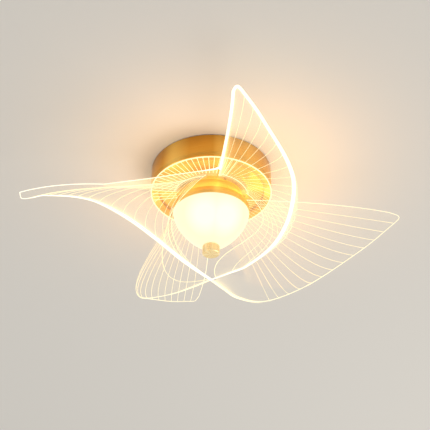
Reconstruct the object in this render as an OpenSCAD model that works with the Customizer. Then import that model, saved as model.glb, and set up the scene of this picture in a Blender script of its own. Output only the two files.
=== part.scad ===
// A round brushed brass canopy on the ceiling, four clear petals that turn round it like a pinwheel,
// and a frosted glass cup held from below by a finial.
// All sizes are in millimetres. The ceiling is at z = 0, the lamp hangs below it, and its front is toward -Y.

/* [Canopy] */
// outside diameter of the round canopy
canopy_d = 160; // [156:1:166]
// distance from the ceiling down to the lower face of the light guide ring
canopy_drop = 36.6; // [35:0.2:40]
// thickness of the canopy and plate sheet
sheet_t = 1.2; // [1:0.1:1.5]
// width of the bright flat lip under the canopy
lip_w = 10; // [8:0.5:12]

/* [Petals] */
// distance from the lamp's axis to a petal's tip
petal_reach = 252; // [240:1:260]
// distance from the ceiling down to a petal's lowest point
petal_drop = 166; // [164:1:170]
// thickness of the flat root of a petal
root_t = 3; // [2.4:0.1:3.2]

/* [Cup] */
// outside diameter of the glass cup
cup_d = 99; // [96:1:102]
// depth at which the cup's sides would close, under its collar
cup_depth = 52.5; // [50:0.5:55]
// thickness of the glass
glass_t = 2.6; // [2:0.1:3]
// distance from the ceiling down to the collar's lower edge
collar_drop = 68.5; // [67:0.5:72]
// height of the collar
collar_h = 9.3; // [8.5:0.1:10]

/* [Rod and finial] */
// outside diameter of the hollow threaded rod
rod_d = 10; // [9:0.5:11]
// bore of the hollow rod
rod_bore_d = 7; // [6:0.5:7.5]
// diameter of the finial
finial_d = 22.2; // [20:0.2:24]
// length of the finial
finial_h = 11; // [10:0.5:14]

/* [Ceiling fixing] */
// distance between the two ceiling slots
slot_spacing = 72; // [60:1:80]
// width of a ceiling slot
slot_w = 4.6; // [4:0.1:5.5]
// length of a ceiling slot from end to end
slot_l = 14; // [10:1:18]

/* [Hidden] */
$fn = 96;
// gap left between two pieces that sit on each other
seat = 0.3;
// overlap that joins two shapes of one piece
weld = 0.6;
// side of a shape that only cuts away
cut = 200;
// how far the heads of the larger and the smaller screws stand out, and their radii
large_head_h = 2.2;
large_head_r = 3.8;
small_head_h = 1.8;
small_head_r = 2.8;

// Derived sizes of the canopy and what closes it.
canopy_r = canopy_d / 2;
wall_r = canopy_r - sheet_t;
guide_t = 2;
guide_bottom = -canopy_drop;
guide_top = guide_bottom + guide_t;
canopy_top = -seat;
canopy_bottom = guide_top + seat;
flange_top = canopy_bottom + sheet_t;
lip_r = canopy_r - lip_w;
plate_r = wall_r - seat;
recess_h = 2.6;
rim_bottom = flange_top + seat;
floor_bottom = rim_bottom + recess_h;
floor_top = floor_bottom + sheet_t;
riser_r = lip_r + 3;
groove_depth = 0.5;
groove_w = 0.9;
groove_heights = [3.4, 5.8];

// Derived sizes of the hub and the clamped stack under it.
hub_r = 50;
hub_top = floor_bottom - seat;
hub_bottom = guide_top + seat;
spigot_r = 7.6;
boss_r = 27.5;
root_top = guide_bottom - seat;
root_bottom = root_top - root_t;
root_mid = root_top - root_t / 2;
clamp_t = 2;
clamp_top = root_bottom - seat;
clamp_bottom = clamp_top - clamp_t;
light_edge_r = 30;
screw_circle_r = 36;

// Derived sizes of the rod, neck, collar and cup.
rod_r = rod_d / 2;
rod_hole_r = rod_r + seat;
washer_t = 1.2;
washer_r = 9.8;
low_washer_r = 8.6;
nut_h = 4;
nut_flats = 15;
top_washer = floor_top + seat;
top_nut = top_washer + washer_t + seat;
rod_top = top_nut + nut_h + 2;
neck_top = clamp_bottom - seat;
neck_top_r = 41.4;
neck_bottom_r = 46.5;
collar_top = -collar_drop + collar_h;
neck_bottom = collar_top + seat;
cup_r = cup_d / 2;
collar_over = 0.4;
collar_r = cup_r + collar_over;
bridge_t = 1.5;
bridge_top = collar_top - sheet_t - seat;
bridge_bottom = bridge_top - bridge_t;
low_washer = bridge_bottom - seat - washer_t;
low_nut = low_washer - seat - nut_h;
gasket_t = 1.5;
gasket_bottom = bridge_top - gasket_t;
cup_top = gasket_bottom - seat;
cup_rim_r = collar_r - sheet_t - seat;
bowl_top = -collar_drop - seat;
cup_seat_r = 11.5;
curve_power = 1.5;
cup_bottom = bowl_top - cup_depth * cup_share(cup_seat_r / cup_r);
finial_washer_t = 1;
finial_top = cup_bottom - 2 * seat - finial_washer_t;
finial_bottom = finial_top - finial_h;
thread_grip = 8;
rod_bottom = finial_top - thread_grip;

// Share of the cup's depth at which its side has drawn in to a given share of its radius.
function cup_share(radius_share) = pow(1 - pow(radius_share, curve_power), 1 / curve_power);

// Points on a circle of radius r from one bearing to another.
function arc_points(r, a0, a1, steps) =
    [for (i = [0:steps]) let (a = a0 + (a1 - a0) * i / steps) [r * cos(a), r * sin(a)]];

// Flat ring between two heights.
module ring(outer_r, inner_r, bottom, top) {
    translate([0, 0, bottom])
        difference() {
            cylinder(r = outer_r, h = top - bottom);
            translate([0, 0, -1])
                cylinder(r = inner_r, h = top - bottom + 2);
        }
}

// Upright cylinder between two heights.
module post(r, bottom, top) {
    translate([0, 0, bottom])
        cylinder(r = r, h = top - bottom);
}

// Ceiling bracket: a cross strip with two slots, a hook arm in front and two screw arms behind.
bracket_t = 2;
strip_l = 104;
strip_w = 24;
arm_w = 16;
middle_r = 24;
tab_t = 2;
tab_h = 20;
tab_r = wall_r - 1;
lock_bearings = [22, 158];
lock_z = -14;
screw_m4_r = 2;
thread_gap = 0.1;
grommet_r = 8;
earth_pos = [0, -30];
hook_riser_r = 66;
hook_ledge_r = 76;
hook_drop = 6.9;

module bracket_outline() {
    difference() {
        union() {
            square([strip_l, strip_w], center = true);
            circle(r = middle_r);
            for (a = lock_bearings)
                rotate(a)
                    translate([0, -arm_w / 2])
                        square([tab_r, arm_w]);
            rotate(-90)
                translate([0, -arm_w / 2])
                    square([hook_riser_r, arm_w]);
        }
        circle(r = grommet_r);
        translate(earth_pos)
            circle(r = screw_m4_r + thread_gap);
        for (side = [-1, 1])
            translate([side * slot_spacing / 2, 0])
                slot_outline();
    }
}

module slot_outline() {
    reach = (slot_l - slot_w) / 2;
    square([2 * reach, slot_w], center = true);
    for (side = [-1, 1])
        translate([side * reach, 0])
            circle(r = slot_w / 2);
}

module lock_tab() {
    difference() {
        translate([tab_r - tab_t, -arm_w / 2, -tab_h])
            cube([tab_t, arm_w, tab_h]);
        translate([tab_r - tab_t - 1, 0, lock_z])
            rotate([0, 90, 0])
                cylinder(r = screw_m4_r + thread_gap, h = tab_t + 2);
    }
}

module canopy_hook() {
    translate([hook_riser_r - bracket_t, -arm_w / 2, -hook_drop])
        cube([bracket_t, arm_w, hook_drop]);
    translate([hook_riser_r - bracket_t, -arm_w / 2, -hook_drop])
        cube([hook_ledge_r - hook_riser_r + bracket_t, arm_w, bracket_t]);
}

module ceiling_bracket() {
    color("silver") {
        translate([0, 0, -bracket_t])
            linear_extrude(bracket_t)
                bracket_outline();
        for (a = lock_bearings)
            rotate(a)
                lock_tab();
        rotate(-90)
            canopy_hook();
    }
}

// Grommet: the rubber inlet of the ceiling cable in the middle of the bracket.
grommet_lip = 1.6;
grommet_lip_w = 2.4;
cable_r = 3.8;

module cable_grommet() {
    color("dimgray")
        difference() {
            union() {
                post(grommet_r - seat, -bracket_t - seat - weld, -seat);
                post(grommet_r + grommet_lip_w, -bracket_t - seat - grommet_lip, -bracket_t - seat);
            }
            post(cable_r, -cut / 2, 1);
        }
}

// Earth screw: pan head under the bracket.
module earth_screw() {
    color("gold")
        translate(earth_pos) {
            post(screw_m4_r, -bracket_t - seat - weld, -seat);
            post(large_head_r, -bracket_t - seat - large_head_h, -bracket_t - seat);
        }
}

// Canopy: turned wall with two fine grooves, a flat lip turned inward, and a lug for the hook.
lug_top = -3.2;
lug_in_r = 70;
lug_span = 50;

function groove_points(height) = [
    [canopy_r, canopy_bottom + height + groove_w / 2],
    [canopy_r - groove_depth, canopy_bottom + height],
    [canopy_r, canopy_bottom + height - groove_w / 2]
];

module canopy_profile() {
    polygon(concat(
        [[wall_r, canopy_top], [canopy_r, canopy_top]],
        groove_points(groove_heights[1]),
        groove_points(groove_heights[0]),
        [[canopy_r, canopy_bottom], [lip_r, canopy_bottom], [lip_r, flange_top], [wall_r, flange_top]]
    ));
}

module canopy() {
    color("goldenrod") {
        difference() {
            rotate_extrude()
                canopy_profile();
            for (a = lock_bearings)
                rotate(a)
                    translate([wall_r - sheet_t, 0, lock_z])
                        rotate([0, 90, 0])
                            cylinder(r = screw_m4_r + seat, h = 3 * sheet_t);
        }
        rotate(-90 - lug_span / 2)
            rotate_extrude(angle = lug_span)
                translate([lug_in_r, lug_top - sheet_t])
                    square([wall_r + weld - lug_in_r, sheet_t]);
    }
}

// Canopy lock screws: two pan heads behind, that the photo does not show.
lock_screw_end = 3;

module canopy_lock_screws() {
    color("goldenrod")
        for (a = lock_bearings)
            rotate(a)
                translate([0, 0, lock_z])
                    rotate([0, 90, 0]) {
                        post(screw_m4_r, tab_r - tab_t - lock_screw_end, canopy_r + seat + weld);
                        post(large_head_r, canopy_r + seat, canopy_r + seat + large_head_h);
                    }
}

// Power supply: a closed box with two screw ears, on the plate behind the rod.
driver_l = 84;
driver_w = 30;
driver_h = 18;
driver_y = 38;
ear_l = 8;
ear_w = 12;
ear_t = 2;
base_screw_r = 1.5;
box_bottom = floor_top + seat;

module led_driver() {
    color("white")
        difference() {
            union() {
                translate([-driver_l / 2, driver_y - driver_w / 2, box_bottom])
                    cube([driver_l, driver_w, driver_h]);
                translate([-driver_l / 2 - ear_l, driver_y - ear_w / 2, box_bottom])
                    cube([driver_l + 2 * ear_l, ear_w, ear_t]);
            }
            for (side = [-1, 1])
                translate([side * (driver_l + ear_l) / 2, driver_y, 0])
                    post(base_screw_r + seat, box_bottom - 1, box_bottom + ear_t + 1);
        }
}

// Terminal block: three poles in front of the rod.
pole_pitch = 11;
block_w = 16;
block_h = 12;
block_y = -36;
block_ear_l = 10;
block_ear_x = 1.5 * pole_pitch + block_ear_l / 2 - weld;
wire_hole_r = 2.2;
clamp_hole_r = 1.8;
clamp_hole_row = 4;

module terminal_block() {
    color("ivory")
        translate([0, block_y, box_bottom])
            difference() {
                union() {
                    translate([-1.5 * pole_pitch, -block_w / 2, 0])
                        cube([3 * pole_pitch, block_w, block_h]);
                    translate([1.5 * pole_pitch - weld, -block_ear_l / 2, 0])
                        cube([block_ear_l, block_ear_l, ear_t]);
                }
                for (i = [-1:1])
                    translate([i * pole_pitch, 0, block_h / 2])
                        rotate([90, 0, 0])
                            cylinder(r = wire_hole_r, h = block_w + 2, center = true);
                for (i = [-1:1], side = [-1, 1])
                    translate([i * pole_pitch, side * clamp_hole_row, block_h / 2])
                        cylinder(r = clamp_hole_r, h = block_h);
                translate([block_ear_x, 0, -1])
                    cylinder(r = base_screw_r + seat, h = ear_t + 2);
            }
}

// Base screws: the three screws that hold the power supply and the terminal block.
base_screw_spots = [
    [-(driver_l + ear_l) / 2, driver_y],
    [(driver_l + ear_l) / 2, driver_y],
    [block_ear_x, block_y]
];

module base_screws() {
    color("silver")
        for (spot = base_screw_spots)
            translate(spot) {
                post(base_screw_r, floor_bottom, box_bottom + ear_t + seat + weld);
                post(small_head_r, box_bottom + ear_t + seat, box_bottom + ear_t + seat + small_head_h);
            }
}

// Underside plate: a pressed pan that rests on the canopy's lip.
module underside_plate() {
    color("darkgoldenrod")
        difference() {
            rotate_extrude()
                polygon([
                    [spigot_r + seat, floor_bottom],
                    [riser_r, floor_bottom],
                    [riser_r, rim_bottom],
                    [plate_r, rim_bottom],
                    [plate_r, rim_bottom + sheet_t],
                    [riser_r + sheet_t, rim_bottom + sheet_t],
                    [riser_r + sheet_t, floor_top],
                    [spigot_r + seat, floor_top]
                ]);
            for (spot = base_screw_spots)
                translate(spot)
                    post(base_screw_r + thread_gap, floor_bottom - 1, floor_top + 1);
        }
}

// Hub: a turned disc with a boss for the light strip and tapped holes for the petal screws.
petal_screw_r = 1.5;
petal_screw_tip = hub_bottom + 2.6;
drilled_past = 0.5;
petal_bearings = [0, 90, 180, 270];

module at_petal_screws() {
    for (b = petal_bearings, side = [-1, 1])
        rotate(b + root_bearing + side * root_screw_angle)
            translate([screw_circle_r, 0])
                children();
}

module hub() {
    color("gold")
        difference() {
            union() {
                post(hub_r, hub_bottom, hub_top);
                post(spigot_r, hub_top - weld, floor_top);
                post(boss_r, clamp_bottom, hub_bottom + weld);
            }
            post(rod_hole_r, -cut / 2, 1);
            at_petal_screws()
                post(petal_screw_r + thread_gap, hub_bottom - 1, petal_screw_tip + drilled_past);
        }
}

// Light strip round the hub's boss, with small side-shining lights toward the clear edges.
strip_t = 0.4;
chip_count = 36;
chip_h = 3.4;
chip_w = 2.8;
chip_t = 1.2;

module led_ring_board() {
    board_r = boss_r + seat + strip_t;
    chip_mid = (guide_top + root_bottom) / 2;
    color("white")
        ring(board_r, boss_r + seat, clamp_bottom + seat, hub_bottom - seat);
    color("lightyellow")
        for (i = [0:chip_count - 1])
            rotate(360 * i / chip_count)
                translate([board_r - strip_t / 2, -chip_w / 2, chip_mid - chip_h / 2])
                    cube([chip_t, chip_w, chip_h]);
}

// Light guide ring: the clear flat ring whose edge glows under the canopy's lip.
module light_guide_ring() {
    color("lightyellow", 0.5)
        difference() {
            ring(canopy_r, light_edge_r, guide_bottom, guide_top);
            at_petal_screws()
                post(petal_screw_r + seat, guide_bottom - 1, guide_top + 1);
        }
}

// Petal surface, written for the front petal. Its lines run from an arc round the hub to the outer edge.
// Along the outer edge u goes from 0 at the tip to 1 under the finial, and v from 0 at the hub to 1.
root_r = 46;
root_bearing = -43;
root_half_angle = 35;
root_screw_angle = 17;
petal_t = 2.6;
u_steps = 28;
v_steps = 14;
// Share of the sheet's thickness on the upper side of the surface that is worked out below.
above_share = 0.8;

// Outer edge from the tip to its end under the finial: share of the reach, bearing, share of the drop.
// The tips differ, and the rest of the edge is the same on all petals.
front_tip = [[0.869, -83.3, 0.320], [0.912, -82.7, 0.335], [0.915, -81.5, 0.370], [0.845, -74.5, 0.500]];
left_tip = [[0.988, -84.8, 0.300], [0.973, -84.6, 0.360], [0.917, -81.8, 0.400], [0.848, -73.5, 0.500]];
plain_tip = [[0.947, -85.4, 0.320], [1.001, -84.3, 0.338], [0.966, -81.7, 0.380], [0.848, -73.7, 0.501]];
common_spots = [
    [0.677, -57.0, 0.675],
    [0.545, -47.4, 0.814],
    [0.397, -40.5, 0.934],
    [0.210, -37.3, 1.007],
    [0.105, -38.0, 1.013],
    [0.030, -40.0, 1.012]
];
last_spot = len(plain_tip) + len(common_spots) - 1;

// How far the middle of a line swells from the straight, at four places along the outer edge.
swell = [[-17, -25, 9], [45, -45, -22], [65, -41, -45], [120, 0, -90]];
// Extra curl of the inner edge, at one third and at two thirds of its length, and how late it sets in.
curl_near = [0, -91, -28];
curl_far = [-111, -26, 50];
curl_power = 6;

// Spots of the outer edge of a petal with a given tip.
function rim_points(tip) = [
    for (s = concat(tip, common_spots))
        [s[0] * petal_reach * cos(s[1]), s[0] * petal_reach * sin(s[1]), -s[2] * petal_drop]
];

// Length of the outer edge up to each of its spots, as a share of the whole.
function rim_length(p, i) = i == 0 ? 0 : rim_length(p, i - 1) + norm(p[i] - p[i - 1]);
function rim_shares(p) = [for (i = [0:last_spot]) rim_length(p, i) / rim_length(p, last_spot)];

// A petal's outer edge: its spots and their shares of its length.
function rim_of(tip) = let (p = rim_points(tip)) [p, rim_shares(p)];

function rim_slope(rim, i) =
    let (a = max(i - 1, 0), b = min(i + 1, last_spot))
        (rim[0][b] - rim[0][a]) / (rim[1][b] - rim[1][a]);

function rim_part(rim, u, i = 0) = i >= last_spot - 1 || u <= rim[1][i + 1] ? i : rim_part(rim, u, i + 1);

function rim_point(rim, u) =
    let (
        i = rim_part(rim, u),
        span = rim[1][i + 1] - rim[1][i],
        s = (u - rim[1][i]) / span
    )
        (2 * s * s * s - 3 * s * s + 1) * rim[0][i]
            + (s * s * s - 2 * s * s + s) * span * rim_slope(rim, i)
            + (3 * s * s - 2 * s * s * s) * rim[0][i + 1]
            + (s * s * s - s * s) * span * rim_slope(rim, i + 1);

// Smooth blend of four values.
function blend(t, p) =
    pow(1 - t, 3) * p[0] + 3 * t * pow(1 - t, 2) * p[1] + 3 * t * t * (1 - t) * p[2] + pow(t, 3) * p[3];

// Point of the sheet's surface. The bow moves the straight edge sideways near the hub.
function sheet_point(rim, bow, u, v) =
    let (
        a = root_bearing + root_half_angle * (2 * u - 1),
        start = [root_r * cos(a), root_r * sin(a), root_mid - (above_share - 0.5) * petal_t],
        end = rim_point(rim, u),
        middle = (start + end) / 2 + blend(u, swell) + [bow * pow(1 - u, curl_power), 0, 0],
        late = pow(u, curl_power)
    )
        blend(v, [
            start,
            (start + 2 * middle) / 3 + late * curl_near,
            (2 * middle + end) / 3 + late * curl_far,
            end
        ]);

// Direction square to the sheet, from points a small step away on each side.
normal_step = 0.01;

function sheet_normal(rim, bow, u, v) =
    let (
        e = normal_step,
        across = sheet_point(rim, bow, min(u + e, 1), v) - sheet_point(rim, bow, max(u - e, 0), v),
        along = sheet_point(rim, bow, u, min(v + e, 1)) - sheet_point(rim, bow, u, max(v - e, 0)),
        n = cross(across, along)
    )
        n / norm(n);

// Formed sheet of one petal, as a closed skin of two layers and the border between them.
module petal_sheet(tip, bow) {
    rim = rim_of(tip);
    row = v_steps + 1;
    layer = (u_steps + 1) * row;
    spots = [for (i = [0:u_steps], j = [0:v_steps]) [i / u_steps, j / v_steps]];
    surface = [for (s = spots) sheet_point(rim, bow, s[0], s[1])];
    square = [for (s = spots) sheet_normal(rim, bow, s[0], s[1]) * petal_t];
    lower = [for (i = [0:u_steps - 1], j = [0:v_steps - 1]) let (k = i * row + j)
        [k, k + 1, k + row + 1, k + row]];
    upper = [for (f = lower) [f[3] + layer, f[2] + layer, f[1] + layer, f[0] + layer]];
    border = concat(
        [for (j = [0:v_steps - 1]) j],
        [for (i = [0:u_steps - 1]) i * row + v_steps],
        [for (j = [v_steps:-1:1]) u_steps * row + j],
        [for (i = [u_steps:-1:1]) i * row]
    );
    count = len(border);
    side = [for (i = [0:count - 1]) let (a = border[i], b = border[(i + 1) % count])
        [b, a, a + layer, b + layer]];
    polyhedron(
        points = concat(surface + square * (1 - above_share), surface - square * above_share),
        faces = split_faces(concat(lower, upper, side)),
        convexity = 8
    );
}

// Each four-sided face as two triangles.
function split_faces(faces) = [for (f = faces, half = [0, 1]) half == 0 ? [f[0], f[1], f[2]] : [f[0], f[2], f[3]]];

// Flat root of a petal, with its two screw holes.
module petal_root() {
    difference() {
        translate([0, 0, root_bottom])
            linear_extrude(root_t)
                polygon(concat(
                    arc_points(root_r + weld, root_bearing - root_half_angle, root_bearing + root_half_angle, 24),
                    arc_points(light_edge_r, root_bearing + root_half_angle, root_bearing - root_half_angle, 16)
                ));
        for (side = [-1, 1])
            rotate(root_bearing + side * root_screw_angle)
                translate([screw_circle_r, 0])
                    post(petal_screw_r + seat, root_bottom - 1, root_top + 1);
    }
}

module petal(turn, tip, bow) {
    color("lightyellow", 0.5)
        rotate(turn) {
            petal_sheet(tip, bow);
            petal_root();
        }
}

// How far each petal's straight edge is bowed sideways near the hub; the rear one's isn't.
front_bow = 24;
right_bow = 19;
left_bow = 40;

module petal_front() {
    petal(0, front_tip, front_bow);
}

module petal_right() {
    petal(90, plain_tip, right_bow);
}

module petal_rear() {
    petal(180, plain_tip, 0);
}

// Flat gusset of the left petal: it fills the notch toward the front petal's straight edge.
gusset_t = 2.4;
gusset_spots = [[-140, -25.5], [-105, -32.6], [-72, -39.5], [-40, -47.5], [2, -57], [7.2, -58.6], [9.6, -61]];
gusset_end_bearing = -80;
gusset_back = [-140, -21];

module left_gusset() {
    inner = arc_points(root_r - weld, gusset_end_bearing, root_bearing - 90 - root_half_angle + 2, 24);
    translate([0, 0, root_bottom + (root_t - gusset_t) / 2])
        linear_extrude(gusset_t)
            polygon(concat(gusset_spots, inner, [gusset_back]));
}

module petal_left() {
    petal(270, left_tip, left_bow);
    color("lightyellow", 0.5)
        left_gusset();
}

// Clamp ring: presses the four petal roots and the light guide ring against the hub.
module petal_clamp_ring() {
    color("goldenrod")
        difference() {
            ring(neck_top_r, light_edge_r, clamp_bottom, clamp_top);
            at_petal_screws()
                post(petal_screw_r + seat, clamp_bottom - 1, clamp_top + 1);
        }
}

// Petal screws: two through each petal root.
module petal_screws() {
    head_top = clamp_bottom - seat;
    color("silver")
        at_petal_screws() {
            post(petal_screw_r, head_top - weld, petal_screw_tip);
            post(small_head_r, head_top - small_head_h, head_top);
        }
}

// Neck: the brass cone between the petal roots and the collar.
module neck() {
    color("goldenrod")
        rotate_extrude()
            polygon([
                [neck_top_r, neck_top],
                [neck_bottom_r, neck_bottom],
                [neck_bottom_r - sheet_t, neck_bottom],
                [neck_top_r - sheet_t, neck_top]
            ]);
}

// Rod: hollow, from above the underside plate down into the finial.
module centre_rod() {
    color("silver")
        ring(rod_r, rod_bore_d / 2, rod_bottom, rod_top);
}

module hex_nut(bottom) {
    translate([0, 0, bottom])
        difference() {
            linear_extrude(nut_h)
                circle(r = nut_flats / 2 / cos(30), $fn = 6);
            translate([0, 0, -1])
                cylinder(r = rod_hole_r, h = nut_h + 2);
        }
}

module rod_nuts() {
    color("silver") {
        hex_nut(top_nut);
        hex_nut(low_nut);
    }
}

module rod_washers() {
    color("silver") {
        ring(washer_r, rod_hole_r, top_washer, top_washer + washer_t);
        ring(low_washer_r, rod_hole_r, low_washer, low_washer + washer_t);
    }
}

// Collar: a spun cap that hides the rim of the glass.
module shade_collar() {
    color("goldenrod")
        rotate_extrude()
            polygon([
                [rod_hole_r, collar_top],
                [collar_r, collar_top],
                [collar_r, -collar_drop],
                [collar_r - sheet_t, -collar_drop],
                [collar_r - sheet_t, collar_top - sheet_t],
                [rod_hole_r, collar_top - sheet_t]
            ]);
}

// Lampholder bridge: the strip across the collar that carries both lampholders.
lamp_bearing = 19;
lamp_offset = 18;
bridge_l = 90;
bridge_w = 14;
holder_neck_r = 5;
holder_r = 8;
holder_h = 13;
holder_top = bridge_bottom - seat;
pin_offset = 4.75;
pin_r = 0.6;
pin_l = 5;

module at_lamps() {
    rotate(lamp_bearing)
        for (side = [-1, 1])
            translate([side * lamp_offset, 0])
                children();
}

module lampholder_bridge() {
    color("silver")
        difference() {
            rotate(lamp_bearing)
                translate([-bridge_l / 2, -bridge_w / 2, bridge_bottom])
                    cube([bridge_l, bridge_w, bridge_t]);
            post(rod_hole_r, -cut / 2, 0);
            at_lamps()
                post(holder_neck_r + seat, bridge_bottom - 1, bridge_top + 1);
        }
}

module lampholders() {
    color("ivory")
        at_lamps()
            difference() {
                union() {
                    post(holder_neck_r, holder_top - weld, bridge_top);
                    post(holder_r, holder_top - holder_h, holder_top);
                }
                for (side = [-1, 1])
                    translate([side * pin_offset, 0])
                        post(pin_r + seat, holder_top - holder_h - 1, holder_top - holder_h + pin_l + 1);
            }
}

// Capsule lamps: pins above, a round glass end below.
lamp_r = 6.5;
lamp_l = 22;
lamp_top = holder_top - holder_h - seat;

module lamps() {
    color("white")
        at_lamps() {
            translate([0, 0, lamp_top - lamp_l])
                rotate_extrude()
                    polygon(concat(
                        [[0, lamp_l], [0, 0]],
                        [for (a = [-75:15:0]) [lamp_r * cos(a), lamp_r + lamp_r * sin(a)]],
                        [[lamp_r, lamp_l]]
                    ));
            for (side = [-1, 1])
                translate([side * pin_offset, 0])
                    post(pin_r, lamp_top - weld, lamp_top + pin_l);
        }
}

// Gasket: the soft ring between the collar and the rim of the glass.
gasket_w = 2.2;

module cup_gasket() {
    color("white")
        ring(cup_rim_r, cup_rim_r - gasket_w, gasket_bottom, bridge_top);
}

// Glass cup: a narrower rim inside the collar and a rounded bowl with a flat seat and a hole.
cup_steps = 22;
glass_play = 0.5;

function bowl_curve(radius, depth, end_share) =
    [for (i = [0:cup_steps])
        let (s = end_share * i / cup_steps)
            [radius * pow(1 - pow(s, curve_power), 1 / curve_power), bowl_top - depth * s]];

module glass_cup() {
    seat_share = cup_share(cup_seat_r / cup_r);
    hole_r = rod_hole_r + glass_play;
    inner_r = cup_r - glass_t;
    inner_depth = cup_depth - glass_t;
    inner_share = (cup_depth * seat_share - glass_t) / inner_depth;
    outer = bowl_curve(cup_r, cup_depth, seat_share);
    inner = bowl_curve(inner_r, inner_depth, inner_share);
    color("white", 0.7)
        rotate_extrude()
            polygon(concat(
                [[inner_r, cup_top], [cup_rim_r, cup_top], [cup_rim_r, bowl_top]],
                outer,
                [[hole_r, cup_bottom], [hole_r, cup_bottom + glass_t]],
                [for (i = [cup_steps:-1:0]) inner[i]]
            ));
}

// Finial washer: the soft ring between the glass and the finial.
washer_inset = 0.9;

module finial_washer() {
    color("white")
        ring(finial_d / 2 - washer_inset, rod_hole_r, cup_bottom - seat - finial_washer_t, cup_bottom - seat);
}

// Finial: the brass knob that is screwed on the rod and holds the cup.
finial_floor_t = 2.6;
finial_edge_r = 1.6;
finial_chamfer = 0.5;

module finial() {
    r = finial_d / 2;
    bore_end = finial_bottom + finial_floor_t;
    color("goldenrod")
        rotate_extrude()
            polygon(concat(
                [[0, bore_end], [rod_r + thread_gap, bore_end], [rod_r + thread_gap, finial_top],
                    [r - finial_chamfer, finial_top], [r, finial_top - finial_chamfer]],
                [for (a = [0:-18:-90])
                    [r - finial_edge_r + finial_edge_r * cos(a),
                        finial_bottom + finial_edge_r + finial_edge_r * sin(a)]],
                [[0, finial_bottom]]
            ));
}

ceiling_bracket();
cable_grommet();
earth_screw();
canopy();
canopy_lock_screws();
led_driver();
terminal_block();
base_screws();
underside_plate();
hub();
led_ring_board();
light_guide_ring();
petal_front();
petal_right();
petal_rear();
petal_left();
petal_clamp_ring();
petal_screws();
neck();
centre_rod();
rod_nuts();
rod_washers();
shade_collar();
lampholder_bridge();
lampholders();
lamps();
cup_gasket();
glass_cup();
finial_washer();
finial();
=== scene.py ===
"""Looks of a ceiling light with four glowing clear petals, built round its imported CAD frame.

Sizes are in millimetres in the code and become metres where a mesh is made. The ceiling is at z = 0, the lamp
hangs below it, and its front is toward -Y.
"""

import logging
import math
from dataclasses import dataclass, field
from enum import Enum
from typing import Callable, Sequence

import bmesh
import bpy
from mathutils import Matrix, Vector

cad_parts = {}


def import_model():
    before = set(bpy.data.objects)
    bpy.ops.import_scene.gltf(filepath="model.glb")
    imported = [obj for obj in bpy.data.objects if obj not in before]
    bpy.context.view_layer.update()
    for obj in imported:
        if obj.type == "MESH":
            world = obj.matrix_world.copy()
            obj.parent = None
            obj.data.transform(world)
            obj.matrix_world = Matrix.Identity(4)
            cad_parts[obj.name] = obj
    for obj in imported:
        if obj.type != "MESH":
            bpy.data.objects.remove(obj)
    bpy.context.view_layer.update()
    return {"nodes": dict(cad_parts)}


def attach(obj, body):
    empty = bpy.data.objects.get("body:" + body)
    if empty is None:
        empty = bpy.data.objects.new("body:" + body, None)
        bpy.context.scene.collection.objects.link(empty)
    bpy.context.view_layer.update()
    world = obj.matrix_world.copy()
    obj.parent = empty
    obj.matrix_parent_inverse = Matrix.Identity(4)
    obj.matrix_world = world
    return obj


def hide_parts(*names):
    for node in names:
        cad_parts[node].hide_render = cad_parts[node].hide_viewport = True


log = logging.getLogger("ceiling_light")

MM = 0.001
Colour = tuple[float, float, float]
Profile = Sequence[tuple[float, float]]

# The curve of screen colours: straight below its knee, counted from 0 to 255, and a power above it.
CURVE_KNEE = 11
CURVE_SLOPE = 12.92
CURVE_OFFSET = 0.055
CURVE_POWER = 2.4


def linear(red: int, green: int, blue: int) -> Colour:
    """A colour as it is seen, from 0 to 255, as the linear values that a shader reads.

    Args:
        red: the red part.
        green: the green part.
        blue: the blue part.

    Returns:
        The linear colour.
    """

    def value(c: int) -> float:
        """One of the three numbers as its linear value."""
        if c < CURVE_KNEE:
            return c / 255 / CURVE_SLOPE
        return ((c / 255 + CURVE_OFFSET) / (1 + CURVE_OFFSET)) ** CURVE_POWER

    return value(red), value(green), value(blue)


def dimmed(colour: Colour, share: float) -> Colour:
    """A share of a linear colour."""
    return tuple(c * share for c in colour)


def polar(radius: float, bearing: float, height: float) -> Vector:
    """Point at a distance from the lamp's axis, on a bearing in degrees, at a height."""
    turn = math.radians(bearing)
    return Vector((radius * math.cos(turn), radius * math.sin(turn), height))


# Shader helpers

# Places of a Mix node's two colours and of their blend among its sockets.
MIX_FIRST = 6
MIX_SECOND = 7
MIX_RESULT = 2


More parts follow.
